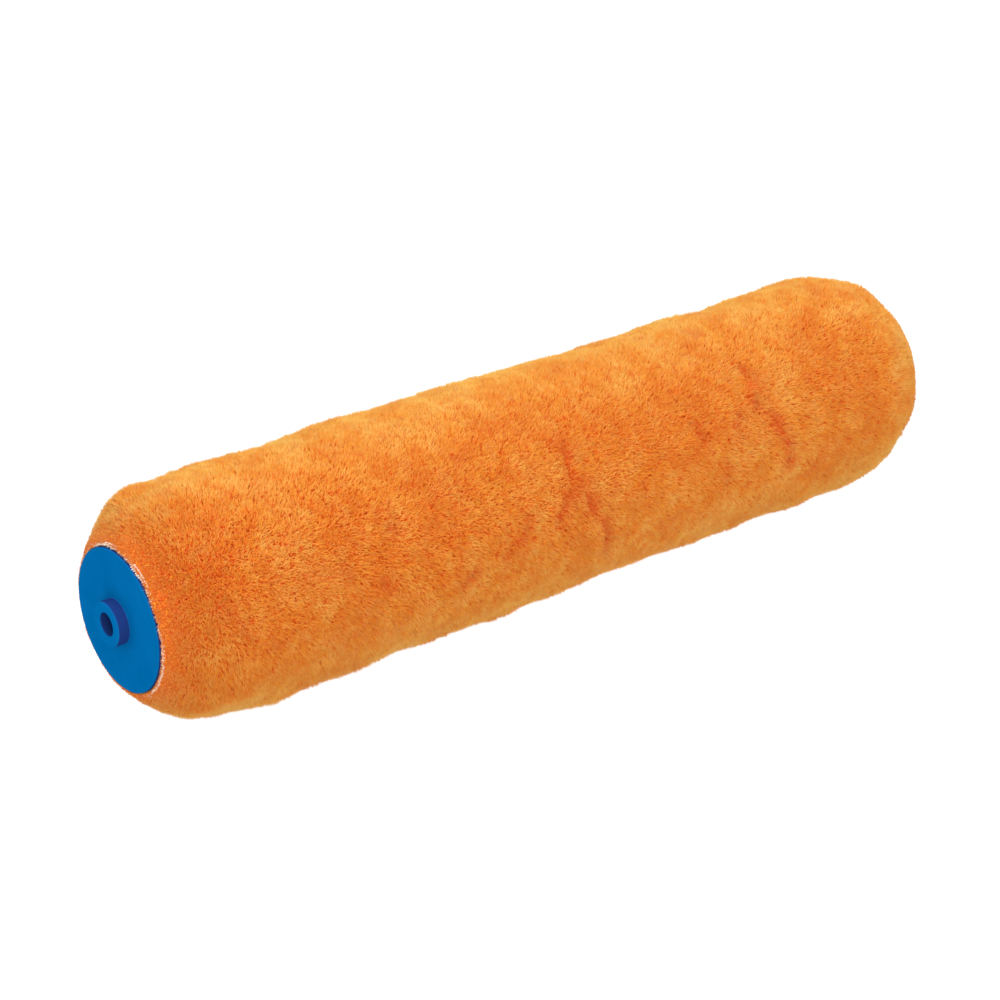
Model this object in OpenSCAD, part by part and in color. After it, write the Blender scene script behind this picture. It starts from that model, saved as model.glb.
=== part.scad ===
// Deep-pile paint roller sleeve with closed ends, for a double-arm roller frame.
// The spin axis lies along Y through the origin, which is the middle of the sleeve.
// The near end cap is at -Y and the far one at +Y. Lengths are in millimetres.

/* [Core tube] */
// Length of the core tube, and of the fabric wound on it
core_len = 305; // [150:1:460]
// Outside diameter of the core tube
core_d = 44.5; // [36:0.1:60]
// Thickness of the inner spiral-wound ply
inner_ply_t = 0.9; // [0.4:0.05:1.5]
// Thickness of the outer spiral-wound ply
outer_ply_t = 0.9; // [0.4:0.05:1.5]

/* [Fabric] */
// Thickness of the glue film between the core and the fabric
glue_t = 0.2; // [0.1:0.05:0.5]
// Thickness of the knitted backing
backing_t = 0.8; // [0.4:0.1:1.5]
// Height of the pile above its backing
pile_h = 13.8; // [6:0.1:20]
// Length of the sheared shoulder at each end of the pile
shoulder_len = 23; // [5:1:40]
// Height of the pile left at the cut edge of the fabric
edge_pile_h = 0.4; // [0.2:0.1:3]
// Fullness of the shoulder: 1 is a straight bevel and 2 is a quarter ellipse
shoulder_power = 1.45; // [1:0.05:2]

/* [End cap flange and boss] */
// How far the rim of the flange is set in from the outside of the core
rim_inset = 0.35; // [0:0.05:1]
// Thickness of the flange
flange_t = 1.2; // [1:0.1:3]
// Radius on the front edge of the flange
flange_round = 0.5; // [0.2:0.1:0.9]
// Diameter of the bore that runs on the rod of the frame
bore_d = 7.2; // [6:0.1:10]
// Wall between the bore and the outside of the boss
boss_wall = 3.3; // [1.5:0.1:5]
// Height of the boss above the flange
boss_h = 3.8; // [2:0.1:8]
// Radius on the front edge of the boss
boss_round = 0.4; // [0.2:0.1:0.8]
// Radius of the fillet where the boss meets the flange
boss_fillet = 0.3; // [0.2:0.1:1]
// Chamfer at each mouth of the bore
bore_chamfer = 0.3; // [0.1:0.1:0.5]

/* [End cap plug] */
// Length of the skirt inside the core
skirt_len = 16; // [8:1:30]
// Wall of the skirt
skirt_wall = 1.5; // [1:0.1:2.5]
// Radial clearance between the skirt and the bore of the core
skirt_clearance = 0.3; // [0.1:0.05:0.6]
// Chamfer that leads the skirt into the core
skirt_lead = 0.8; // [0.3:0.1:0.8]
// Number of crush ribs that grip the core
rib_count = 8; // [4:1:12]
// Width of a crush rib
rib_w = 1.4; // [0.8:0.1:2.5]
// Wall of the hub round the bore
hub_wall = 1.8; // [1.2:0.1:3]
// Length of the hub behind the flange
hub_len = 14; // [6:1:28]
// Number of webs between the hub and the skirt
web_count = 6; // [3:1:8]
// Thickness of a web
web_t = 1.2; // [0.8:0.1:2]
// Depth of the webs behind the flange
web_depth = 10; // [4:1:24]

/* [Hidden] */
$fn = 96;

PILE_ORANGE = [0.93, 0.52, 0.16];
BACKING_CREAM = [0.93, 0.84, 0.72];
GLUE_AMBER = [0.80, 0.70, 0.50];
PLY_BROWN = [0.42, 0.33, 0.26];
PLY_DARK_BROWN = [0.34, 0.27, 0.22];
CAP_BLUE = [0.01, 0.38, 0.66];

// Radii of the layers, from the bore of the core outwards.
core_r = core_d / 2;
between_plies_r = core_r - outer_ply_t;
core_bore_r = between_plies_r - inner_ply_t;
glue_r = core_r + glue_t;
backing_r = glue_r + backing_t;
pile_r = backing_r + pile_h;

// Radii of the end cap, from its bore outwards.
bore_r = bore_d / 2;
boss_r = bore_r + boss_wall;
hub_r = bore_r + hub_wall;
skirt_r = core_bore_r - skirt_clearance;
skirt_bore_r = skirt_r - skirt_wall;
flange_r = core_r - rim_inset;
boss_top = flange_t + boss_h;

// How far a web, a rib or a cutter runs into what it joins or past what it cuts.
merge = 0.4;
CURVE_STEPS = 12;

// Points of an arc of radius r about [x, y], from angle a to angle b.
function arc(x, y, r, a, b, steps = 6) =
    [for (i = [0 : steps]) let (t = a + (b - a) * i / steps) [x + r * cos(t), y + r * sin(t)]];

// Points of one shoulder, as [radius, distance in from the cut edge], from the edge up to full pile.
function shoulder(steps = CURVE_STEPS) =
    let (foot = backing_r + edge_pile_h, power = 2 / shoulder_power)
    [for (i = [0 : steps]) let (t = 90 * i / steps)
        [foot + (pile_r - foot) * pow(sin(t), power), shoulder_len * (1 - pow(cos(t), power))]];

// Turns a shape that was made along Z so that its +Z end points along +Y or -Y.
module along_y(sign = 1) { rotate([-90 * sign, 0, 0]) children(); }

// A plain tube along Y, centred on the origin.
module layer_tube(outer, inner) {
    along_y() difference() {
        cylinder(h = core_len, r = outer, center = true);
        cylinder(h = core_len + 2 * merge, r = inner, center = true);
    }
}

// The tufted pile, with a sheared shoulder at each end.
module pile_cover() {
    half = core_len / 2;
    near = [for (p = shoulder()) [p.x, p.y - half]];
    far = [for (i = [CURVE_STEPS : -1 : 0]) [near[i].x, -near[i].y]];
    color(PILE_ORANGE) along_y() rotate_extrude()
        polygon(concat([[backing_r, -half]], near, far, [[backing_r, half]]));
}

// The knitted ground that holds the pile, cut flush with the core.
module fabric_backing() { color(BACKING_CREAM) layer_tube(backing_r, glue_r); }

// The film that bonds the fabric to the core.
module glue_film() { color(GLUE_AMBER) layer_tube(glue_r, core_r); }

// The outer and the inner spiral-wound strip of the core.
module core_outer_ply() { color(PLY_BROWN) layer_tube(core_r, between_plies_r); }
module core_inner_ply() { color(PLY_DARK_BROWN) layer_tube(between_plies_r, core_bore_r); }

// Flange and boss as one turned shape, with rounded edges and a fillet between them.
module cap_face() {
    rotate_extrude() polygon(concat(
        [[0, 0], [flange_r, 0]],
        arc(flange_r - flange_round, flange_t - flange_round, flange_round, 0, 90),
        arc(boss_r + boss_fillet, flange_t + boss_fillet, boss_fillet, 270, 180),
        arc(boss_r - boss_round, boss_top - boss_round, boss_round, 0, 90),
        [[0, boss_top]]));
}

// Hollow plug that centres the cap in the core, with a chamfer to lead it in.
module cap_skirt() {
    rotate_extrude() polygon([
        [skirt_bore_r, merge], [skirt_bore_r, -skirt_len], [skirt_r - skirt_lead, -skirt_len],
        [skirt_r, -skirt_len + skirt_lead], [skirt_r, merge]]);
}

// Ribs on the skirt that reach the bore of the core and hold the cap by friction.
module crush_ribs() {
    rib_len = skirt_len - 2 * skirt_lead;
    intersection() {
        for (i = [0 : rib_count - 1]) rotate([0, 0, 360 * i / rib_count])
            translate([skirt_r - merge, -rib_w / 2, -rib_len]) cube([3 * merge, rib_w, rib_len + merge]);
        translate([0, 0, -rib_len]) cylinder(h = rib_len + merge, r = core_bore_r);
    }
}

// Radial webs that tie the hub to the skirt.
module cap_webs() {
    for (i = [0 : web_count - 1]) rotate([0, 0, 360 * (i + 0.5) / web_count])
        translate([hub_r - merge, -web_t / 2, -web_depth])
            cube([skirt_bore_r - hub_r + 2 * merge, web_t, web_depth + merge]);
}

// The bore, with a chamfer at both of its mouths.
module cap_bore() {
    translate([0, 0, -hub_len - merge]) cylinder(h = hub_len + boss_top + 2 * merge, r = bore_r);
    for (end = [[boss_top, 1], [-hub_len, -1]]) translate([0, 0, end[0]]) scale([1, 1, end[1]])
        translate([0, 0, -bore_chamfer])
            cylinder(h = bore_chamfer, r1 = bore_r, r2 = bore_r + bore_chamfer);
}

// One moulded end cap. Its flange rests on the end of the core and its boss points outwards.
module end_cap(sign) {
    color(CAP_BLUE) translate([0, sign * core_len / 2, 0]) along_y(sign) difference() {
        union() {
            cap_face();
            cap_skirt();
            crush_ribs();
            cap_webs();
            translate([0, 0, -hub_len]) cylinder(h = hub_len + merge, r = hub_r);
        }
        cap_bore();
    }
}

pile_cover();
fabric_backing();
glue_film();
core_outer_ply();
core_inner_ply();
end_cap(-1);  // end_cap_near
end_cap(1);  // end_cap_far
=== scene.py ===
"""Deep-pile paint roller sleeve with closed ends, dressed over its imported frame.

The sleeve lies along Y with its near end cap at -Y. Lengths are in metres.
"""

import math

import bpy
import numpy as np
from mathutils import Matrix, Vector, noise


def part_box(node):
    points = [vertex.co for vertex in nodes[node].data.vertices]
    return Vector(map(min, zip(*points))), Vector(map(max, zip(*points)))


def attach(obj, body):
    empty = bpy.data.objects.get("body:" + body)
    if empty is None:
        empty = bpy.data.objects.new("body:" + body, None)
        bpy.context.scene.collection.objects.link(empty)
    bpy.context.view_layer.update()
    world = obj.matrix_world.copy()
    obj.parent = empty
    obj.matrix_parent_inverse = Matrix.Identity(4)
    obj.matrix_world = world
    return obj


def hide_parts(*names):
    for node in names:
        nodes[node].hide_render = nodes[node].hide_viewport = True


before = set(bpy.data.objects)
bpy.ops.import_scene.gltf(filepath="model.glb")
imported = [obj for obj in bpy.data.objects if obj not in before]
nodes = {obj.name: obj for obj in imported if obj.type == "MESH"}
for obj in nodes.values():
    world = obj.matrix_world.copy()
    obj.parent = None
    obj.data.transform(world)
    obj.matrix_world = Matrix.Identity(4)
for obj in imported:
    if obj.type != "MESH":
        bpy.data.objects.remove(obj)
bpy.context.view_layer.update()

MM = 0.001
BODY = "root"

# Sizes taken from the frame.
PILE_LOW, PILE_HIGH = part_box("pile_cover")
BACK_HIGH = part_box("fabric_backing")[1]
GLUE_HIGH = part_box("glue_film")[1]
HALF_LENGTH = PILE_HIGH.y
PILE_RADIUS = PILE_HIGH.x
BACKING_RADIUS = BACK_HIGH.x
GLUE_RADIUS = GLUE_HIGH.x
FLOOR_Z = PILE_LOW.z - 0.3 * MM

# Envelope of the pile, with a rounded shoulder at each end.
SHOULDER_LENGTH = 23.0 * MM
SHOULDER_POWER = 1.45
SHOULDER_FOOT = BACKING_RADIUS + 0.4 * MM
SHOULDER_RINGS = 14
MIDDLE_RING_GAP = 2.6 * MM
GROUND_SIDES = 96

# How deep the ground lies under the envelope, as shares of the pile and of a tuft's reach.
TUFT_REACH = 2.8 * MM
GROUND_DEPTH_SHARE = 0.8
GROUND_INSET_SHARE = 0.6
GROUND_LEAST_DROP = 0.35

# The ground's edge, from the glue outwards, as (distance from the edge, radius).
EDGE_STATIONS = [
    (-0.2 * MM, GLUE_RADIUS), (-0.15 * MM, BACKING_RADIUS - 0.25 * MM),
    (0.4 * MM, BACKING_RADIUS + 0.05 * MM),
]

# Tufts of the pile. Lengths and widths are shares of the full tuft, swirls are (size, lean).
TUFT_LENGTH = 2.9 * MM
TUFT_ROOT_RADIUS = 0.25 * MM
TUFT_SIDES = 3
TUFTS_PER_SQUARE_METRE = 8.5e6
LENGTH_RANGE = (0.88, 1.05)
CLUMP_SIZE = 2.4 * MM
CLUMP_LEAST = 0.5
WIDTH_LEAST = 0.8
WIDTH_GAIN = 0.5
PILE_SWIRLS = [(16 * MM, 0.5), (4.5 * MM, 0.7), (1.0 * MM, 1.8)]
PILE_LOOSE = 0.5
PILE_BANDS = 11
BAND_MARGIN = 1.0 * MM
PILE_SEED = 41
TONE_SEED_STEP = 100
LENGTH_SEED_STEP = 200

# Nap: length of the tufts, as a share of the full length.
EDGE_NAP = 0.24
NAP_RISE_SHARE = 0.45
NAP_RISE_POWER = 0.8
PARTED_NAP_LOSS = 0.35

# Share of the bake map that the unrolled tufts fill, across and along.
MAP_WIDTH = 0.98
MAP_HEIGHT = 0.96

# Short pile on the lip that folds over the cut edge, towards the flange.
LIP_DEPTH = 0.3 * MM
LIP_LEAN = 0.8
LIP_NAP = 0.24

# Cut edge of the knitted backing, round each flange.
LOOPS_ROUND = 168
LOOP_RADIUS = 0.32 * MM
LOOP_YARN = 0.11 * MM
LOOP_SLACK = 0.9 * MM
LOOP_RISE = 0.15 * MM
LOOP_DIP = 1.1 * MM
LOOP_SLACK_SIZE = 1.6 * MM
LOOP_DIP_SIZE = 3.0 * MM
LOOP_SEGMENTS = 9
YARN_SIDES = 5
LOOP_TILT = (0.5, 0.9, 0.3)
FRAY_LENGTH = 1.1 * MM
FRAY_RADIUS = 0.13 * MM
FRAY_STAND = 0.1 * MM
FRAY_INNER = GLUE_RADIUS - 0.2 * MM
FRAY_OUTER = GLUE_RADIUS + 0.4 * MM
FRAYS_PER_SQUARE_METRE = 3.5e6
FRAY_SWIRLS = [(1.5 * MM, 1.5)]
FRAY_LOOSE = 0.8

# Backing cloth: stations from its edge in mm, and the knit's small waves.
CLOTH_STATIONS = [0.0, 0.35, 0.7, 1.1, 1.6, 2.4, 6.0, 20.0]
CLOTH_INSET = 0.15 * MM
CLOTH_CLEARANCE = 0.1 * MM
KNIT_WAVE = 0.25 * MM
KNIT_WAVE_SIZE = 0.9 * MM

# Where the cut edge strays: angle and spread in degrees, then mm outwards and mm into the pile.
EDGE_STRAYS = [
    (-22, 26, 0.6, 0.0), (-62, 18, 0.3, 0.4), (-118, 42, 0.2, 1.2), (165, 24, 0.2, 0.5),
]

# No two faces of a turned piece are equally far from this point.
SORTING_POINT = (0.0371, -0.2113, 0.0193)

# Lumps that handling leaves in the pile.
BROAD_LUMP = 15.0 * MM
BROAD_LUMP_HEIGHT = 1.3 * MM
FINE_LUMP = 5.0 * MM
FINE_LUMP_HEIGHT = 0.7 * MM

# Lines where the pile parts: points as (distance along Y in mm, angle above the side in degrees).
# The angle is 0 at +X and 90 at the top.
PARTINGS = [
    (0.9, [(-11, 43), (-10, 34), (-10, 26), (-8, 22)]),
    (0.6, [(-8, 24), (-12, 17), (-16, 9), (-18, 4)]),
    (0.9, [(-6, 15), (-4, 4), (0, -4), (3, -22)]),
    (0.7, [(-30, 10), (-33, 3), (-39, -3)]),
    (0.5, [(-52, -5), (-56, -11)]),
    (0.9, [(69, 50), (71, 40), (68, 34), (68, 28)]),
    (0.7, [(60, 27), (57, 22), (55, 18)]),
    (0.8, [(73, 22), (76, 15), (79, 4), (80, -8)]),
    (0.5, [(51, 2), (52, -5)]),
    (0.6, [(42, 30), (44, 22)]),
    (0.5, [(62, 86), (64, 80)]),
    (0.6, [(-81, 38), (-78, 30)]),
    (0.5, [(-97, 21), (-97, 14)]),
    (0.6, [(-84, 7), (-82, 1)]),
    (0.5, [(-48, 55), (-47, 52)]),
    (0.5, [(-138, 24), (-132, 3)]),
    (0.7, [(-62, 190), (-60, 168), (-55, 150), (-49, 132)]),
    (0.5, [(-58, 165), (-66, 150), (-72, 140)]),
    (0.6, [(22, 225), (26, 205), (30, 188), (38, 172)]),
    (0.6, [(96, 205), (101, 186), (104, 165)]),
    (0.4, [(104, 175), (112, 165)]),
    (0.6, [(-112, 262), (-108, 246), (-103, 228)]),
    (0.5, [(60, 300), (64, 282), (66, 268)]),
    (0.5, [(-30, 305), (-26, 288)]),
]
PARTING_WIDTH = 2.3 * MM
PARTING_DEPTH = 1.3 * MM
PARTING_WANDER = 1.4 * MM
PARTING_WANDER_SIZE = 8.0 * MM
WANDER_SHIFTS = [(17.3, 0, 0), (0, 31.7, 0), (0, 0, 47.1)]
PARTING_BREAK_SIZE = 5.0 * MM
PARTING_BREAK_MIDDLE = 0.62
PARTING_BREAK_SWING = 0.9
PARTING_BREAK_RANGE = (0.1, 1.1)
PARTING_LEAN = 0.5
PARTING_LEAN_WIDTH = 1.6 * PARTING_WIDTH
PARTING_CORE = 0.4 * MM
COMB_MOST = 0.8
FAINTEST_PARTING = 0.02
FAINTEST_SWELL = 0.01
NEARLY_NOTHING = 1e-9

# Places where the pile stands high or lies low: height, spread and distance along Y in mm, angle.
SWELLS = [
    (2.4, 6, -140, 121), (-2.3, 6, -128, 118), (-1.4, 9, -92, 118), (-0.9, 6, -109, 118),
    (1.0, 8, -68, 118), (-0.4, 5, -50, 118), (0.4, 8, -30, 118), (-0.4, 8, 2, 118),
    (-1.7, 10, 26, 118), (-1.8, 7, 50, 118), (-1.7, 9, 88, 118), (0.7, 9, 127, 118),
    (1.6, 7, 146, 86), (0.6, 8, 150, 45), (-1.5, 7, 141, -25), (-0.9, 7, 147, -42),
    (0.9, 6, -143, -56), (-0.7, 4, -125, -56), (-1.6, 7, -132, -56), (1.7, 7, -116, -56),
    (0.7, 6, -101, -56), (1.5, 8, -86, -56), (-1.1, 5, -70, -56), (0.9, 6, -60, -56),
    (0.4, 6, -40, -56),
    (2.4, 6, -30, -56), (0.8, 8, -12, -56), (0.5, 4, 0, -56), (-0.9, 7, 14, -56),
    (-0.4, 8, 36, -56), (0.8, 6, 51, -56), (0.8, 7, 66, -56), (-0.9, 4, 80, -56),
    (1.4, 9, 97, -56), (1.3, 7, 121, -56), (-0.6, 5, 131, -56),
    (-1.6, 5, -149, 152), (-1.5, 5, -149, -94),
]
SWELL_HEIGHT = 3.0 * MM

# Lights: name, place, watts and tint.
SOFTBOX_SIDE = 0.8
COOL_WHITE = (0.84, 1.07, 1.27)
WARM_WHITE = (1.0, 0.88, 0.80)
SOFTBOXES = [
    ("key", (0.25, -0.15, 1.20), 7.4, COOL_WHITE),
    ("fill", (1.03, -0.48, 0.58), 7.2, WARM_WHITE),
    ("back", (-0.80, 0.60, 0.90), 4.0, COOL_WHITE),
]
STUDIO_BRIGHTNESS = 1.06

# Floor.
FLOOR_SIDE = 8.0
FLOOR_GREY = (0.16, 0.16, 0.16, 1)
FLOOR_GLOW = 1.0
WHITE = (1, 1, 1, 1)

# Camera.
CAMERA_AZIMUTH = 50.62
CAMERA_ELEVATION = 24.61
CAMERA_DISTANCE = 0.829
CAMERA_LENS = 93.07
CAMERA_SENSOR = 36.0
CAMERA_SHIFT = (-0.0323, -0.0210)
CAMERA_NEAREST = 0.01

# Colours of the pile.
# ROOT_RED is partly the fibre's own deep orange, partly painted shade inside the pile.
ROOT_RED = (0.76, 0.105, 0.005)
TIP_RUST = (0.82, 0.225, 0.010)
TIP_ORANGE = (0.94, 0.400, 0.022)
TIP_GOLD = (0.98, 0.600, 0.060)
TIP_PALE = (0.99, 0.790, 0.250)
PATCH_DEEP = (0.79, 0.200, 0.004)
PATCH_PALE = (1.00, 0.620, 0.120)
# Painted shade: a darker red laid into the partings.
PARTING_PAINTED_SHADE = (0.67, 0.078, 0.004)
GROUND_RUST = (0.58, 0.060, 0.003)
# Painted shade: a darker, redder multiply on the short-napped shoulders at both ends.
SHORT_NAP_PAINTED_SHADE = (0.89, 0.60, 0.46)
SHEEN_GOLD = (1.0, 0.72, 0.40)

# Stops of the colour ramps, as (position, colour).
PATCH_STOPS = [(0.40, PATCH_DEEP), (0.50, TIP_ORANGE), (0.60, PATCH_PALE)]
SPECK_STOPS = [(0.0, TIP_RUST), (0.30, TIP_ORANGE), (0.72, TIP_GOLD), (0.86, TIP_PALE)]
GRAIN_STOPS = [(0.37, ROOT_RED), (0.47, TIP_ORANGE), (0.55, TIP_GOLD), (0.64, TIP_PALE)]
GROUND_STOPS = [(0.38, GROUND_RUST), (0.48, ROOT_RED), (0.57, TIP_ORANGE), (0.68, TIP_GOLD)]
CAP_STOPS = [(0.3, (0.000, 0.106, 0.300)), (0.7, (0.001, 0.119, 0.333))]
BOARD_STOPS = [(0.3, (0.10, 0.065, 0.042)), (0.7, (0.17, 0.11, 0.07))]
GLUE_STOPS = [(0.3, (0.50, 0.36, 0.16)), (0.7, (0.62, 0.48, 0.25))]
KNIT_STOPS = [(0.3, (0.80, 0.62, 0.46)), (0.7, (0.96, 0.88, 0.78))]

# Sizes of the grain in each finish.
GRAIN_SIZE = 0.34 * MM
MOTTLE_SIZE = 6 * MM
PATCH_SIZE = 20 * MM
TUFT_ROW = 0.8 * MM
GROUND_BUMP_SIZE = 0.6 * MM
CAP_CLOUD_SIZE = 9 * MM
CAP_GRAIN_SIZE = 0.35 * MM
CAP_GLOSS_SIZE = 3 * MM
BOARD_GRAIN_SIZE = 0.8 * MM
GLUE_CLOUD_SIZE = 2 * MM
KNIT_TONE_SIZE = 1.0 * MM
KNIT_BUMP_SIZE = 0.4 * MM

# How the colours of a fibre are laid over each other. Short fibres show more speck and grain.
PATCH_MOTTLE_MIX = 0.5
SPECK_MIX = 0.30
GRAIN_MIX = 0.20
SHORT_GAIN = 0.5
ROOT_SHARE = 0.28
# Share of painted shade laid into the partings.
PARTING_SHADE_MIX = 0.85

# Height of each bump: (strength, depth).
GROUND_BUMP = (0.6, 0.4 * MM)
CAP_BUMP = (0.12, 0.05 * MM)
KNIT_BUMP = (0.5, 0.2 * MM)

# Roughness and gloss of each finish.
FIBRE_ROUGHNESS = 0.75
FIBRE_GLOSS = 0.2
FIBRE_SHEEN = 0.15
GROUND_ROUGHNESS = 0.9
CAP_ROUGHNESS = 0.36
CAP_ROUGHNESS_SWING = 0.12
BOARD_ROUGHNESS = 0.8
GLUE_ROUGHNESS = 0.4
KNIT_ROUGHNESS = 0.85

# Painted shade on the walls of the cap that face away from its axis: axial facing where the painted
# shade starts and ends.
CAP_WALL_PAINTED_SHADE = (0.012, 0.036, 0.160)
CAP_SHADE_START = 0.75
CAP_SHADE_FULL = 0.15


# ---------------------------------------------------------------- making pieces

def deselect_all():
    """Leave nothing selected, so that an operator touches only what is chosen next."""
    for thing in bpy.context.selected_objects:
        thing.select_set(False)


def pick(piece):
    """Make one object the only one selected, and the active one."""
    deselect_all()
    piece.select_set(True)
    bpy.context.view_layer.objects.active = piece


def named(name):
    """Name the object that was just added, and its mesh."""
    piece = bpy.context.object
    piece.name = name
    piece.data.name = name
    return piece


def apply_place(piece):
    """Move the object's place, turn and size into its mesh."""
    pick(piece)
    bpy.ops.object.transform_apply(location=True, rotation=True, scale=True)


def modify(piece, kind, **settings):
    """Add one modifier with its settings and apply it."""
    pick(piece)
    modifier = piece.modifiers.new(kind.lower(), kind)
    for key, value in settings.items():
        setattr(modifier, key, value)
    bpy.ops.object.modifier_apply(modifier=modifier.name)


def points_of(mesh):
    """The places of a mesh's vertices, one row each."""
    places = np.empty(len(mesh.vertices) * 3)
    mesh.vertices.foreach_get("co", places)
    return places.reshape(-1, 3)


def smooth(piece):
    """Shade the whole piece smooth."""
    pick(piece)
    bpy.ops.object.shade_smooth()


def displace_noise(piece, name, size, strength, direction):
    """Move the surface by a soft noise, half inwards and half outwards."""
    texture = bpy.data.textures.new(name, "CLOUDS")
    texture.noise_scale = size
    texture.noise_depth = 1
    texture.noise_basis = "ORIGINAL_PERLIN"
    modify(piece, "DISPLACE", direction=direction, texture_coords="LOCAL", mid_level=0.5,
           strength=strength, texture=texture)


def weigh(piece, name, weights, faintest):
    """A vertex group that holds the weights above the faintest one."""
    group = piece.vertex_groups.new(name=name)
    for index in np.nonzero(weights > faintest)[0]:
        group.add([int(index)], float(weights[index]), "REPLACE")


def settle_order():
    """Number the faces by their distance from one point, so that every run plants alike."""
    bpy.context.scene.cursor.location = SORTING_POINT
    bpy.ops.mesh.select_all(action="SELECT")
    bpy.ops.mesh.sort_elements(type="CURSOR_DISTANCE", elements={"VERT", "EDGE", "FACE"})


def turned_shell(name, stations, sides):
    """A shell of revolution about Y: a circle extruded through (y, radius) stations."""
    deselect_all()
    y, radius = stations[0]
    bpy.ops.mesh.primitive_circle_add(
        vertices=sides, radius=radius, location=(0, y, 0), rotation=(math.pi / 2, 0, 0))
    piece = named(name)
    apply_place(piece)
    bpy.ops.object.mode_set(mode="EDIT")
    bpy.ops.mesh.select_all(action="SELECT")
    for next_y, next_radius in stations[1:]:
        bpy.ops.mesh.extrude_region_move(TRANSFORM_OT_translate={"value": (0, next_y - y, 0)})
        grow = next_radius / radius
        bpy.ops.transform.resize(value=(grow, 1, grow), center_override=(0, next_y, 0))
        y, radius = next_y, next_radius
    bpy.ops.mesh.select_all(action="SELECT")
    bpy.ops.mesh.normals_make_consistent(inside=False)
    settle_order()
    bpy.ops.object.mode_set(mode="OBJECT")
    return piece


# ---------------------------------------------------------------- pile

def shoulder_point(share):
    """Envelope of the pile at a share of the shoulder's arc: (distance from the edge, radius)."""
    turn = share * math.pi / 2
    power = 2 / SHOULDER_POWER
    inward = SHOULDER_LENGTH * (1 - math.cos(turn) ** power)
    return inward, SHOULDER_FOOT + (PILE_RADIUS - SHOULDER_FOOT) * math.sin(turn) ** power


def envelope_radius(y):
    """Radius of the pile's envelope at a place along Y."""
    inward = HALF_LENGTH - abs(y)
    if inward >= SHOULDER_LENGTH:
        return PILE_RADIUS
    cosine = max(0.0, 1 - inward / SHOULDER_LENGTH) ** (SHOULDER_POWER / 2)
    rise = math.sqrt(1 - cosine ** 2) ** (2 / SHOULDER_POWER)
    return SHOULDER_FOOT + (PILE_RADIUS - SHOULDER_FOOT) * rise


def ground_stations():
    """The surface that the tufts stand on, as (y, radius) from the near edge to the far one."""
    side = list(EDGE_STATIONS)
    for ring in range(1, SHOULDER_RINGS + 1):
        inward, radius = shoulder_point(ring / SHOULDER_RINGS)
        depth = min(TUFT_REACH, GROUND_DEPTH_SHARE * (radius - BACKING_RADIUS))
        slope = math.pi / 2 * (1 - ring / SHOULDER_RINGS)
        inset = GROUND_INSET_SHARE * depth * math.sin(slope)
        side.append((inward + inset, radius - depth * max(GROUND_LEAST_DROP, math.cos(slope))))
    near = [(-HALF_LENGTH + inward, radius) for inward, radius in side]
    far = [(-y, radius) for y, radius in reversed(near)]
    span = far[0][0] - near[-1][0]
    count = round(span / MIDDLE_RING_GAP)
    middle = [(near[-1][0] + span * i / count, near[-1][1]) for i in range(1, count)]
    return near + middle + far


def parting_points():
    """Every parting as short segments of 3-D points on the envelope, with its strength."""
    segments = []
    for strength, line in PARTINGS:
        places = []
        for y_mm, degrees in line:
            angle = math.radians(degrees)
            radius = PILE_RADIUS - TUFT_REACH
            places.append((radius * math.cos(angle), y_mm * MM, radius * math.sin(angle)))
        for start, end in zip(places, places[1:]):
            segments.append((strength, np.array(start), np.array(end)))
    return segments


def comb_pile(ground):
    """Give each point of the ground the way its fibres are combed, and how far it has parted."""
    mesh = ground.data
    place = points_of(mesh)
    wander = np.array([[noise.noise(Vector(p) / PARTING_WANDER_SIZE + Vector(shift))
                        for shift in WANDER_SHIFTS] for p in place])
    broken = np.array([noise.noise(Vector(p) / PARTING_BREAK_SIZE) for p in place])
    broken = np.clip(PARTING_BREAK_MIDDLE + PARTING_BREAK_SWING * broken, *PARTING_BREAK_RANGE)
    strayed = place + PARTING_WANDER * wander
    parted = np.zeros(len(place))
    comb = np.zeros(place.shape)
    for strength, start, end in parting_points():
        along = end - start
        share = np.clip((strayed - start) @ along / (along @ along), 0, 1)
        away = strayed - (start + share[:, None] * along)
        gap = np.linalg.norm(away, axis=1)
        near = strength * broken * np.exp(-(gap / PARTING_WIDTH) ** 2)
        lean = strength * np.exp(-(gap / PARTING_LEAN_WIDTH) ** 2)
        comb += away / np.maximum(gap, PARTING_CORE)[:, None] * lean[:, None] * PARTING_LEAN
        parted = np.maximum(parted, near)
    rim = np.hypot(place[:, 0], place[:, 2])
    lip = (np.abs(place[:, 1]) > HALF_LENGTH - LIP_DEPTH) & (rim < BACKING_RADIUS)
    comb[lip] = -LIP_LEAN * place[lip] * (1, 0, 1) / rim[lip, None]
    reach = np.linalg.norm(comb, axis=1)
    comb *= (np.minimum(reach, COMB_MOST) / np.maximum(reach, NEARLY_NOTHING))[:, None]
    mesh.attributes.new("comb", "FLOAT_VECTOR", "POINT").data.foreach_set(
        "vector", comb.ravel())
    mesh.attributes.new("parted", "FLOAT", "POINT").data.foreach_set("value", parted)
    weigh(ground, "parted", parted, FAINTEST_PARTING)


def swell_pile(ground):
    """Weight the places where the pile stands high or lies low."""
    place = points_of(ground.data)
    height = np.zeros(len(place))
    for height_mm, spread_mm, y_mm, degrees in SWELLS:
        angle = math.radians(degrees)
        radius = envelope_radius(y_mm * MM)
        centre = np.array([radius * math.cos(angle), y_mm * MM, radius * math.sin(angle)])
        gap = np.linalg.norm(place - centre, axis=1) / (spread_mm * MM)
        height += height_mm * MM * np.exp(-gap ** 2)
    for name, part in (("swollen", height), ("sunk", -height)):
        weigh(ground, name, np.clip(part / SWELL_HEIGHT, 0, 1), FAINTEST_SWELL)


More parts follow.
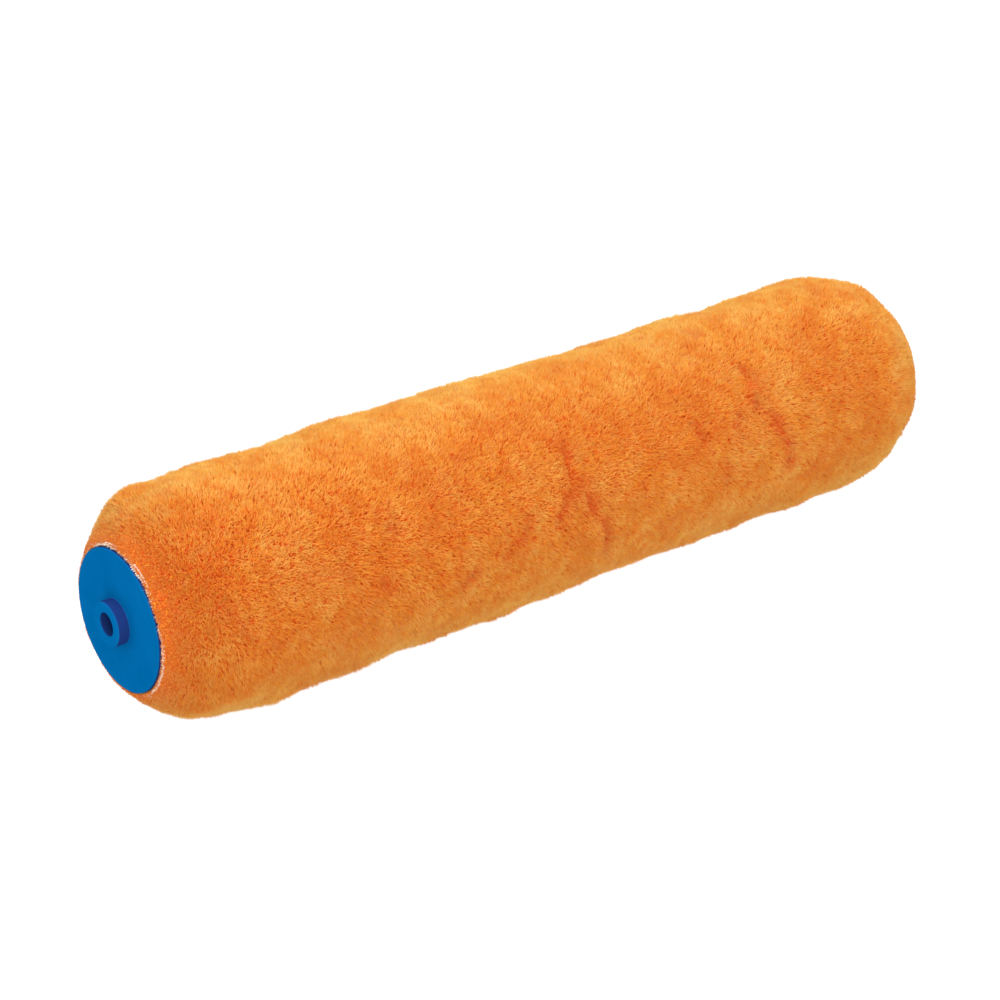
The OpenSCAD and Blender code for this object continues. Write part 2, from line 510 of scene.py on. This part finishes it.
def make_ground():
    """The dense roots of the pile, under the tufts."""
    ground = turned_shell("pile_ground", ground_stations(), GROUND_SIDES)
    modify(ground, "SUBSURF", levels=1, render_levels=1)
    comb_pile(ground)
    swell_pile(ground)
    for group, height in (("parted", -PARTING_DEPTH), ("swollen", SWELL_HEIGHT),
                          ("sunk", -SWELL_HEIGHT)):
        modify(ground, "DISPLACE", direction="NORMAL", mid_level=0.0, strength=height,
               vertex_group=group)
    displace_noise(ground, "broad_lumps", BROAD_LUMP, BROAD_LUMP_HEIGHT, "NORMAL")
    displace_noise(ground, "fine_lumps", FINE_LUMP, FINE_LUMP_HEIGHT, "NORMAL")
    smooth(ground)
    return ground


def make_tuft(name, radius, length):
    """One tuft: a slim three-sided point, open where it enters the ground."""
    deselect_all()
    bpy.ops.mesh.primitive_cone_add(
        vertices=TUFT_SIDES, radius1=radius, radius2=0, depth=length,
        end_fill_type="NOTHING", location=(0, 0, length / 2))
    tuft = named(name)
    apply_place(tuft)
    smooth(tuft)
    reach = tuft.data.attributes.new("reach", "FLOAT", "POINT")
    for index, vertex in enumerate(tuft.data.vertices):
        reach.data[index].value = vertex.co.z / length
    return tuft


class NodeBench:
    """Lays nodes in a tree and links them, one short call each."""

    def __init__(self, tree):
        self.tree = tree

    def add(self, kind, inputs=None, **settings):
        """Lay one node, with its inputs fed and its settings made."""
        node = self.tree.nodes.new(kind)
        for key, value in settings.items():
            setattr(node, key, value)
        for key, value in (inputs or {}).items():
            self.feed(node.inputs[key], value)
        return node

    def feed(self, socket, value):
        """Link another node's output to a socket, or set the socket's own value."""
        if isinstance(value, bpy.types.NodeSocket):
            self.tree.links.new(value, socket)
        else:
            socket.default_value = value

    def maths(self, operation, *values):
        """One sum on plain numbers."""
        node = self.add("ShaderNodeMath", operation=operation)
        for socket, value in zip(node.inputs, values):
            self.feed(socket, value)
        return node.outputs[0]

    def vector(self, operation, *values):
        """One sum on vectors."""
        node = self.add("ShaderNodeVectorMath", operation=operation)
        for socket, value in zip(node.inputs, values):
            self.feed(socket, value)
        return node.outputs[0]

    def scaled(self, vector, factor):
        """A vector made longer or shorter."""
        node = self.add("ShaderNodeVectorMath", operation="SCALE")
        self.feed(node.inputs[0], vector)
        self.feed(node.inputs["Scale"], factor)
        return node.outputs[0]


def planting_tree(name, tuft, fibre, density, swirls, loose):
    """Geometry nodes that plant tufts all over a surface. swirls are (size, strength) leans."""
    tree = bpy.data.node_groups.new(name, "GeometryNodeTree")
    tree.interface.new_socket("Geometry", in_out="INPUT", socket_type="NodeSocketGeometry")
    tree.interface.new_socket("Seed", in_out="INPUT", socket_type="NodeSocketInt")
    tree.interface.new_socket("Geometry", in_out="OUTPUT", socket_type="NodeSocketGeometry")
    bench = NodeBench(tree)
    group_in = bench.add("NodeGroupInput")
    seed = group_in.outputs["Seed"]
    planted = bench.add("GeometryNodeDistributePointsOnFaces", {
        "Mesh": group_in.outputs["Geometry"], "Density": density, "Seed": seed})
    place = bench.add("GeometryNodeInputPosition").outputs[0]

    def swirl(size, strength):
        """A lean that changes smoothly over the given size."""
        cloud = bench.add("ShaderNodeTexNoise", {
            "Vector": place, "Scale": 1 / size, "Detail": 1.0})
        centred = bench.vector("SUBTRACT", cloud.outputs["Color"], (0.5, 0.5, 0.5))
        return bench.scaled(centred, strength)

    jitter = bench.add("FunctionNodeRandomValue", data_type="FLOAT_VECTOR")
    jitter.inputs[0].default_value = (-1, -1, -1)
    jitter.inputs[1].default_value = (1, 1, 1)
    bench.feed(jitter.inputs["Seed"], seed)
    comb = bench.add("GeometryNodeInputNamedAttribute", {"Name": "comb"},
                     data_type="FLOAT_VECTOR").outputs[0]
    lean = bench.vector("ADD", comb, bench.scaled(jitter.outputs[0], loose))
    for span, strength in swirls:
        lean = bench.vector("ADD", lean, swirl(span, strength))
    way = bench.vector("ADD", planted.outputs["Normal"], lean)
    way = bench.vector("NORMALIZE", way)
    turn = bench.add("FunctionNodeAlignRotationToVector", {"Vector": way}, axis="Z")

    root = bench.add("GeometryNodeStoreNamedAttribute", {
        "Geometry": planted.outputs["Points"], "Name": "root", "Value": place},
        data_type="FLOAT_VECTOR", domain="POINT")
    tone = bench.add("FunctionNodeRandomValue", data_type="FLOAT")
    bench.feed(tone.inputs["Seed"], bench.maths("ADD", seed, TONE_SEED_STEP))
    toned = bench.add("GeometryNodeStoreNamedAttribute", {
        "Geometry": root.outputs[0], "Name": "tone", "Value": tone.outputs[1]},
        data_type="FLOAT", domain="POINT")

    size = bench.add("FunctionNodeRandomValue", data_type="FLOAT")
    size.inputs[2].default_value, size.inputs[3].default_value = LENGTH_RANGE
    bench.feed(size.inputs["Seed"], bench.maths("ADD", seed, LENGTH_SEED_STEP))
    clump = bench.add("ShaderNodeTexNoise", {"Vector": place, "Scale": 1 / CLUMP_SIZE,
                                             "Detail": 1.0}).outputs[0]
    clump = bench.maths("ADD", clump, CLUMP_LEAST)
    short = bench.add("GeometryNodeInputNamedAttribute", {"Name": "nap"},
                      data_type="FLOAT").outputs[0]
    length = bench.maths("MULTIPLY", bench.maths("MULTIPLY", size.outputs[1], clump), short)
    width = bench.maths("MULTIPLY_ADD", tone.outputs[1], WIDTH_GAIN, WIDTH_LEAST)
    scale = bench.add("ShaderNodeCombineXYZ", {"X": width, "Y": width, "Z": length})

    shape = bench.add("GeometryNodeObjectInfo", {"Object": tuft})
    stood = bench.add("GeometryNodeInstanceOnPoints", {
        "Points": toned.outputs[0], "Instance": shape.outputs["Geometry"],
        "Rotation": turn.outputs[0], "Scale": scale.outputs[0]})
    spun = bench.add("FunctionNodeRandomValue", data_type="FLOAT")
    spun.inputs[3].default_value = 2 * math.pi
    spin = bench.add("ShaderNodeCombineXYZ", {"Z": spun.outputs[1]})
    rotated = bench.add("GeometryNodeRotateInstances", {
        "Instances": stood.outputs[0], "Rotation": spin.outputs[0]})
    real = bench.add("GeometryNodeRealizeInstances", {"Geometry": rotated.outputs[0]})
    coated = bench.add("GeometryNodeSetMaterial", {
        "Geometry": real.outputs[0], "Material": fibre})
    out = bench.add("NodeGroupOutput")
    bench.feed(out.inputs[0], coated.outputs[0])
    return tree


def measure_nap(ground):
    """How long the tufts can be at each point, as a share of the full length."""
    mesh = ground.data
    place = points_of(mesh)
    inward = np.clip((HALF_LENGTH - np.abs(place[:, 1])) / SHOULDER_LENGTH, 0, 1)
    parted = np.empty(len(place))
    mesh.attributes["parted"].data.foreach_get("value", parted)
    rise = np.clip(inward / NAP_RISE_SHARE, 0, 1) ** NAP_RISE_POWER
    nap = (EDGE_NAP + (1 - EDGE_NAP) * rise) * (1 - PARTED_NAP_LOSS * parted)
    rim = np.hypot(place[:, 0], place[:, 2])
    nap[(inward < LIP_DEPTH / SHOULDER_LENGTH) & (rim < BACKING_RADIUS)] = LIP_NAP
    mesh.attributes.new("nap", "FLOAT", "POINT").data.foreach_set("value", nap)


def one_finish(piece, material):
    """Leave one material slot on a piece, for all of its faces."""
    piece.data.materials.clear()
    piece.data.materials.append(material)
    piece.data.polygons.foreach_set("material_index",
                                    np.zeros(len(piece.data.polygons), dtype=np.int32))


def plant(piece, tree, seed):
    """Replace the active piece's surface by the tufts that grow on it."""
    planter = piece.modifiers.new("tufts", "NODES")
    planter.node_group = tree
    planter[tree.interface.items_tree["Seed"].identifier] = seed
    bpy.ops.object.modifier_apply(modifier=planter.name)


def make_bands(ground, tree, fibre):
    """The tufts, band by band along the sleeve."""
    low = -HALF_LENGTH - BAND_MARGIN
    step = (2 * HALF_LENGTH + 2 * BAND_MARGIN) / PILE_BANDS
    bands = []
    for index in range(PILE_BANDS):
        pick(ground)
        bpy.ops.object.duplicate()
        band = named(f"pile_band_{index + 1}")
        bpy.ops.object.mode_set(mode="EDIT")
        for cut, keep_above in ((low + index * step, True), (low + (index + 1) * step, False)):
            bpy.ops.mesh.select_all(action="SELECT")
            bpy.ops.mesh.bisect(
                plane_co=(0, cut, 0), plane_no=(0, 1, 0),
                clear_inner=keep_above, clear_outer=not keep_above)
        settle_order()
        bpy.ops.object.mode_set(mode="OBJECT")
        plant(band, tree, PILE_SEED + index)
        one_finish(band, fibre)
        unroll(band)
        bands.append(band)
    return bands


def stray(piece, sign):
    """Let a ring of yarn wander off the flange, and sink into the pile, as EDGE_STRAYS says."""
    for vertex in piece.data.vertices:
        angle = math.degrees(math.atan2(vertex.co.z, vertex.co.x))
        for centre, spread, outwards, inwards in EDGE_STRAYS:
            gap = (angle - centre + 180) % 360 - 180
            share = math.exp(-(gap / spread) ** 2)
            turn = math.radians(angle)
            vertex.co.x += share * outwards * MM * math.cos(turn)
            vertex.co.z += share * outwards * MM * math.sin(turn)
            vertex.co.y -= sign * share * inwards * MM


def make_edge_loops(name, sign):
    """The knit's cut loops, as a ring of small yarn loops round the flange."""
    deselect_all()
    bpy.ops.mesh.primitive_torus_add(
        major_radius=LOOP_RADIUS, minor_radius=LOOP_YARN,
        major_segments=LOOP_SEGMENTS, minor_segments=YARN_SIDES,
        location=(GLUE_RADIUS, sign * (HALF_LENGTH + LOOP_RISE), 0), rotation=LOOP_TILT)
    loop = named(name)
    apply_place(loop)
    hub = bpy.data.objects.new("hub", None)
    bpy.context.scene.collection.objects.link(hub)
    hub.rotation_euler = (0, 2 * math.pi / LOOPS_ROUND, 0)
    modify(loop, "ARRAY", count=LOOPS_ROUND, use_relative_offset=False,
           use_object_offset=True, offset_object=hub)
    bpy.data.objects.remove(hub)
    displace_noise(loop, name + "_slack", LOOP_SLACK_SIZE, LOOP_SLACK, "RGB_TO_XYZ")
    displace_noise(loop, name + "_dip", LOOP_DIP_SIZE, LOOP_DIP, "Y")
    stray(loop, sign)
    smooth(loop)
    return loop


def make_frays(name, sign, tree):
    """Loose ends of the knit's ground yarn, standing out of its cut edge."""
    edge = sign * (HALF_LENGTH + FRAY_STAND)
    frays = turned_shell(name, [
        (edge, FRAY_INNER), (edge - sign * FRAY_STAND, FRAY_OUTER)], GROUND_SIDES)
    stray(frays, sign)
    pick(frays)
    bpy.ops.object.mode_set(mode="EDIT")
    bpy.ops.mesh.select_all(action="SELECT")
    if frays.data.polygons[0].normal.y * sign < 0:
        bpy.ops.mesh.flip_normals()
    bpy.ops.object.mode_set(mode="OBJECT")
    nap = frays.data.attributes.new("nap", "FLOAT", "POINT")
    nap.data.foreach_set("value", np.ones(len(frays.data.vertices)))
    plant(frays, tree, PILE_SEED)
    return frays


def make_backing():
    """The knitted backing as a tube, wavy at its two cut edges."""
    middle = (GLUE_RADIUS + BACKING_RADIUS) / 2
    near = [(-HALF_LENGTH + CLOTH_INSET + step * MM, middle) for step in CLOTH_STATIONS]
    far = [(-y, radius) for y, radius in reversed(near)]
    cloth = turned_shell("backing_cloth", near + far, 3 * LOOPS_ROUND)
    displace_noise(cloth, "knit", KNIT_WAVE_SIZE, KNIT_WAVE, "RGB_TO_XYZ")
    modify(cloth, "SOLIDIFY", thickness=BACKING_RADIUS - GLUE_RADIUS - CLOTH_CLEARANCE, offset=0.0)
    smooth(cloth)
    return cloth


def unroll(band):
    """A map that lays each tuft at its own place on the unrolled sleeve."""
    mesh = band.data
    place = points_of(mesh)
    root = np.empty(place.size)
    mesh.attributes["root"].data.foreach_get("vector", root)
    root = root.reshape(-1, 3)
    angle = np.arctan2(root[:, 2], root[:, 0])
    round_way = np.stack([-np.sin(angle), np.zeros(len(place)), np.cos(angle)], axis=1)
    off = place - root
    across = (off * round_way).sum(axis=1)
    girth = 2 * math.pi * PILE_RADIUS
    u = 0.5 + MAP_WIDTH * (angle / (2 * math.pi) + across / girth)
    low, high = root[:, 1].min(), root[:, 1].max()
    v = (1 - MAP_HEIGHT) / 2 + MAP_HEIGHT * (root[:, 1] + off[:, 1] - low) / (high - low)
    corner = np.empty(len(mesh.loops), dtype=np.int64)
    mesh.loops.foreach_get("vertex_index", corner)
    layer = mesh.uv_layers.new(name="OFBake")
    layer.data.foreach_set("uv", np.stack([u[corner], v[corner]], axis=1).ravel())


# ---------------------------------------------------------------- finishes

def new_material(name):
    """A material with one Principled shader, and a bench for its nodes."""
    material = bpy.data.materials.new(name)
    material.use_nodes = True
    bench = NodeBench(material.node_tree)
    shader = material.node_tree.nodes["Principled BSDF"]
    return material, bench, shader


def ramp(bench, factor, stops):
    """A colour ramp from (position, colour) stops."""
    node = bench.add("ShaderNodeValToRGB", {"Fac": factor})
    elements = node.color_ramp.elements
    while len(elements) < len(stops):
        elements.new(0.5)
    for element, (position, colour) in zip(elements, stops):
        element.position = position
        element.color = (*colour, 1)
    return node.outputs["Color"]


def mixed(bench, blend, factor, first, second):
    """Two colours mixed."""
    node = bench.add("ShaderNodeMix", data_type="RGBA", blend_type=blend)
    bench.feed(node.inputs[0], factor)
    bench.feed(node.inputs[6], first)
    bench.feed(node.inputs[7], second)
    return node.outputs[2]


def object_noise(bench, size, detail=2.0):
    """Noise on the object's own coordinates."""
    coords = bench.add("ShaderNodeTexCoord").outputs["Object"]
    node = bench.add("ShaderNodeTexNoise", {"Vector": coords, "Scale": 1 / size,
                                            "Detail": detail})
    return node.outputs["Fac"]


def attribute(bench, name):
    """A number that the mesh carries."""
    return bench.add("ShaderNodeAttribute", attribute_name=name).outputs["Fac"]


def faded(bench, value, start, full):
    """0 where the value is at the start, 1 where it is at the full mark."""
    return bench.add("ShaderNodeMapRange", {
        "Value": value, "From Min": start, "From Max": full}).outputs[0]


def bumped(bench, shader, size, bump):
    """Raise a fine grain on the surface. bump is (strength, depth)."""
    strength, depth = bump
    node = bench.add("ShaderNodeBump", {"Height": object_noise(bench, size),
                                        "Strength": strength, "Distance": depth})
    bench.feed(shader.inputs["Normal"], node.outputs[0])


def fibre_material():
    """Dyed acrylic fibre, golden orange at the tip and deep red-orange at the root; the blend
    between them is partly painted light on the tips and painted shade at the roots.
    """
    material, bench, shader = new_material("pile_fibre")
    reach = attribute(bench, "reach")
    tone = attribute(bench, "tone")
    parted = attribute(bench, "parted")
    nap = attribute(bench, "nap")
    mottle = ramp(bench, object_noise(bench, MOTTLE_SIZE), PATCH_STOPS)
    patch = ramp(bench, object_noise(bench, PATCH_SIZE), PATCH_STOPS)
    speck = ramp(bench, tone, SPECK_STOPS)
    grain = ramp(bench, object_noise(bench, GRAIN_SIZE, 1.0), GRAIN_STOPS)
    short = bench.maths("SUBTRACT", 1.0, nap)
    tip = mixed(bench, "MIX", PATCH_MOTTLE_MIX, patch, mottle)
    for share, coat_over in ((SPECK_MIX, speck), (GRAIN_MIX, grain)):
        cover = bench.maths("MULTIPLY_ADD", short, SHORT_GAIN, share)
        tip = mixed(bench, "MIX", cover, tip, coat_over)
    # Blend from root to tip, partly painted light: pale, lit tips over deep, shaded roots.
    lit = bench.maths("MAXIMUM", faded(bench, reach, ROOT_SHARE, 1.0),
                      bench.maths("MULTIPLY", short, SHORT_GAIN))
    colour = mixed(bench, "MIX", lit, (*ROOT_RED, 1), tip)
    # Painted shade on the short-napped shoulders.
    colour = mixed(bench, "MULTIPLY", short, colour, (*SHORT_NAP_PAINTED_SHADE, 1))
    # Painted shade in the partings, where the pile has parted.
    parting_shade = bench.maths("MULTIPLY", parted, PARTING_SHADE_MIX)
    colour = mixed(bench, "MIX", parting_shade, colour, (*PARTING_PAINTED_SHADE, 1))
    bench.feed(shader.inputs["Base Color"], colour)
    shader.inputs["Roughness"].default_value = FIBRE_ROUGHNESS
    shader.inputs["Specular IOR Level"].default_value = FIBRE_GLOSS
    shader.inputs["Sheen Weight"].default_value = FIBRE_SHEEN
    shader.inputs["Sheen Tint"].default_value = (*SHEEN_GOLD, 1)
    return material


def ground_material():
    """The dense, shaded roots of the pile, in rows of tufts."""
    material, bench, shader = new_material("pile_roots")
    colour = ramp(bench, object_noise(bench, TUFT_ROW, 3.0), GROUND_STOPS)
    bench.feed(shader.inputs["Base Color"], colour)
    bumped(bench, shader, GROUND_BUMP_SIZE, GROUND_BUMP)
    shader.inputs["Roughness"].default_value = GROUND_ROUGHNESS
    return material


def cap_material():
    """Moulded blue polypropylene with a fine grain, and painted shade darkening the walls round its
    axis.
    """
    material, bench, shader = new_material("cap_blue")
    face = ramp(bench, object_noise(bench, CAP_CLOUD_SIZE), CAP_STOPS)
    normal = bench.add("ShaderNodeTexCoord").outputs["Normal"]
    facing = bench.add("ShaderNodeSeparateXYZ", {"Vector": normal}).outputs[1]
    # Painted shade: walls that face away from the axis get a darker blue.
    wall_shade = faded(bench, bench.maths("ABSOLUTE", facing), CAP_SHADE_START, CAP_SHADE_FULL)
    colour = mixed(bench, "MIX", wall_shade, face, (*CAP_WALL_PAINTED_SHADE, 1))
    bench.feed(shader.inputs["Base Color"], colour)
    bumped(bench, shader, CAP_GRAIN_SIZE, CAP_BUMP)
    rough = bench.maths("MULTIPLY_ADD", object_noise(bench, CAP_GLOSS_SIZE),
                        CAP_ROUGHNESS_SWING, CAP_ROUGHNESS)
    bench.feed(shader.inputs["Roughness"], rough)
    shader.inputs["Specular IOR Level"].default_value = 0.0
    return material


def board_material():
    """Resin-soaked core board with a matted grain."""
    material, bench, shader = new_material("wound_board")
    colour = ramp(bench, object_noise(bench, BOARD_GRAIN_SIZE, 4.0), BOARD_STOPS)
    bench.feed(shader.inputs["Base Color"], colour)
    shader.inputs["Roughness"].default_value = BOARD_ROUGHNESS
    return material


def glue_material():
    """Amber bond film."""
    material, bench, shader = new_material("bond_film")
    colour = ramp(bench, object_noise(bench, GLUE_CLOUD_SIZE), GLUE_STOPS)
    bench.feed(shader.inputs["Base Color"], colour)
    shader.inputs["Roughness"].default_value = GLUE_ROUGHNESS
    return material


def backing_material():
    """Undyed knitted ground yarn."""
    material, bench, shader = new_material("knit_backing")
    colour = ramp(bench, object_noise(bench, KNIT_TONE_SIZE), KNIT_STOPS)
    bench.feed(shader.inputs["Base Color"], colour)
    bumped(bench, shader, KNIT_BUMP_SIZE, KNIT_BUMP)
    shader.inputs["Roughness"].default_value = KNIT_ROUGHNESS
    return material


def floor_material():
    """Pale paper that glows a little, so that it stays even."""
    material, _, shader = new_material("floor_paper")
    shader.inputs["Base Color"].default_value = FLOOR_GREY
    shader.inputs["Emission Color"].default_value = WHITE
    shader.inputs["Emission Strength"].default_value = FLOOR_GLOW
    shader.inputs["Roughness"].default_value = 1.0
    shader.inputs["Specular IOR Level"].default_value = 0.0
    return material


def coat(piece, material):
    """Put one material on a whole piece."""
    if piece.data.materials:
        for index in range(len(piece.data.materials)):
            piece.data.materials[index] = material
    else:
        piece.data.materials.append(material)


# ---------------------------------------------------------------- stage

def make_stage():
    """A pale floor and soft light."""
    deselect_all()
    bpy.ops.mesh.primitive_plane_add(size=FLOOR_SIDE, location=(0, 0, FLOOR_Z))
    floor = named("floor")
    coat(floor, floor_material())

    world = bpy.data.worlds.new("studio")
    world.use_nodes = True
    background = world.node_tree.nodes["Background"]
    background.inputs["Color"].default_value = WHITE
    background.inputs["Strength"].default_value = STUDIO_BRIGHTNESS
    bpy.context.scene.world = world

    for name, place, watts, tint in SOFTBOXES:
        soft_light(name, place, watts, tint)


def soft_light(name, place, watts, tint):
    """A square area light aimed at the middle of the sleeve."""
    data = bpy.data.lights.new(name, "AREA")
    data.size = SOFTBOX_SIDE
    data.energy = watts
    data.color = tint
    lamp = bpy.data.objects.new(name, data)
    bpy.context.scene.collection.objects.link(lamp)
    lamp.location = place
    lamp.rotation_mode = "QUATERNION"
    lamp.rotation_quaternion = (-Vector(place)).to_track_quat("-Z", "Y")


def make_camera():
    """The camera, at the height and side that show the near cap and the length of the pile."""
    data = bpy.data.cameras.new("camera")
    data.lens = CAMERA_LENS
    data.sensor_width = CAMERA_SENSOR
    data.shift_x, data.shift_y = CAMERA_SHIFT
    data.clip_start = CAMERA_NEAREST
    camera = bpy.data.objects.new("camera", data)
    bpy.context.scene.collection.objects.link(camera)
    turn, rise = math.radians(CAMERA_AZIMUTH), math.radians(CAMERA_ELEVATION)
    back = Vector((math.sin(turn) * math.cos(rise), -math.cos(turn) * math.cos(rise),
                   math.sin(rise)))
    camera.location = back * CAMERA_DISTANCE
    camera.rotation_mode = "QUATERNION"
    camera.rotation_quaternion = (-back).to_track_quat("-Z", "Y")
    bpy.context.scene.camera = camera


# ---------------------------------------------------------------- assembly

bpy.context.scene.view_settings.view_transform = "Standard"
make_camera()
make_stage()

tuft = make_tuft("tuft", TUFT_ROOT_RADIUS, TUFT_LENGTH)
ground = make_ground()
measure_nap(ground)
coat(ground, ground_material())
fibre = fibre_material()
pile_tree = planting_tree(
    "plant_pile", tuft, fibre, TUFTS_PER_SQUARE_METRE, PILE_SWIRLS, PILE_LOOSE)
bands = make_bands(ground, pile_tree, fibre)
for piece in [ground, *bands]:
    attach(piece, BODY)
    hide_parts("pile_cover")

knit = backing_material()
fray = make_tuft("fray", FRAY_RADIUS, FRAY_LENGTH)
fray_tree = planting_tree(
    "plant_frays", fray, knit, FRAYS_PER_SQUARE_METRE, FRAY_SWIRLS, FRAY_LOOSE)
backing = make_backing()
edges = []
for side, sign in (("near", -1), ("far", 1)):
    edges.append(make_edge_loops("edge_loops_" + side, sign))
    edges.append(make_frays("edge_frays_" + side, sign, fray_tree))
for piece in [backing, *edges]:
    one_finish(piece, knit)
    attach(piece, BODY)
    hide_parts("fabric_backing")
for seed_shape in (tuft, fray):
    bpy.data.objects.remove(seed_shape)

cap_blue, board = cap_material(), board_material()
for node, material in (("end_cap_near", cap_blue), ("end_cap_far", cap_blue),
                       ("core_inner_ply", board), ("core_outer_ply", board),
                       ("glue_film", glue_material())):
    coat(nodes[node], material)
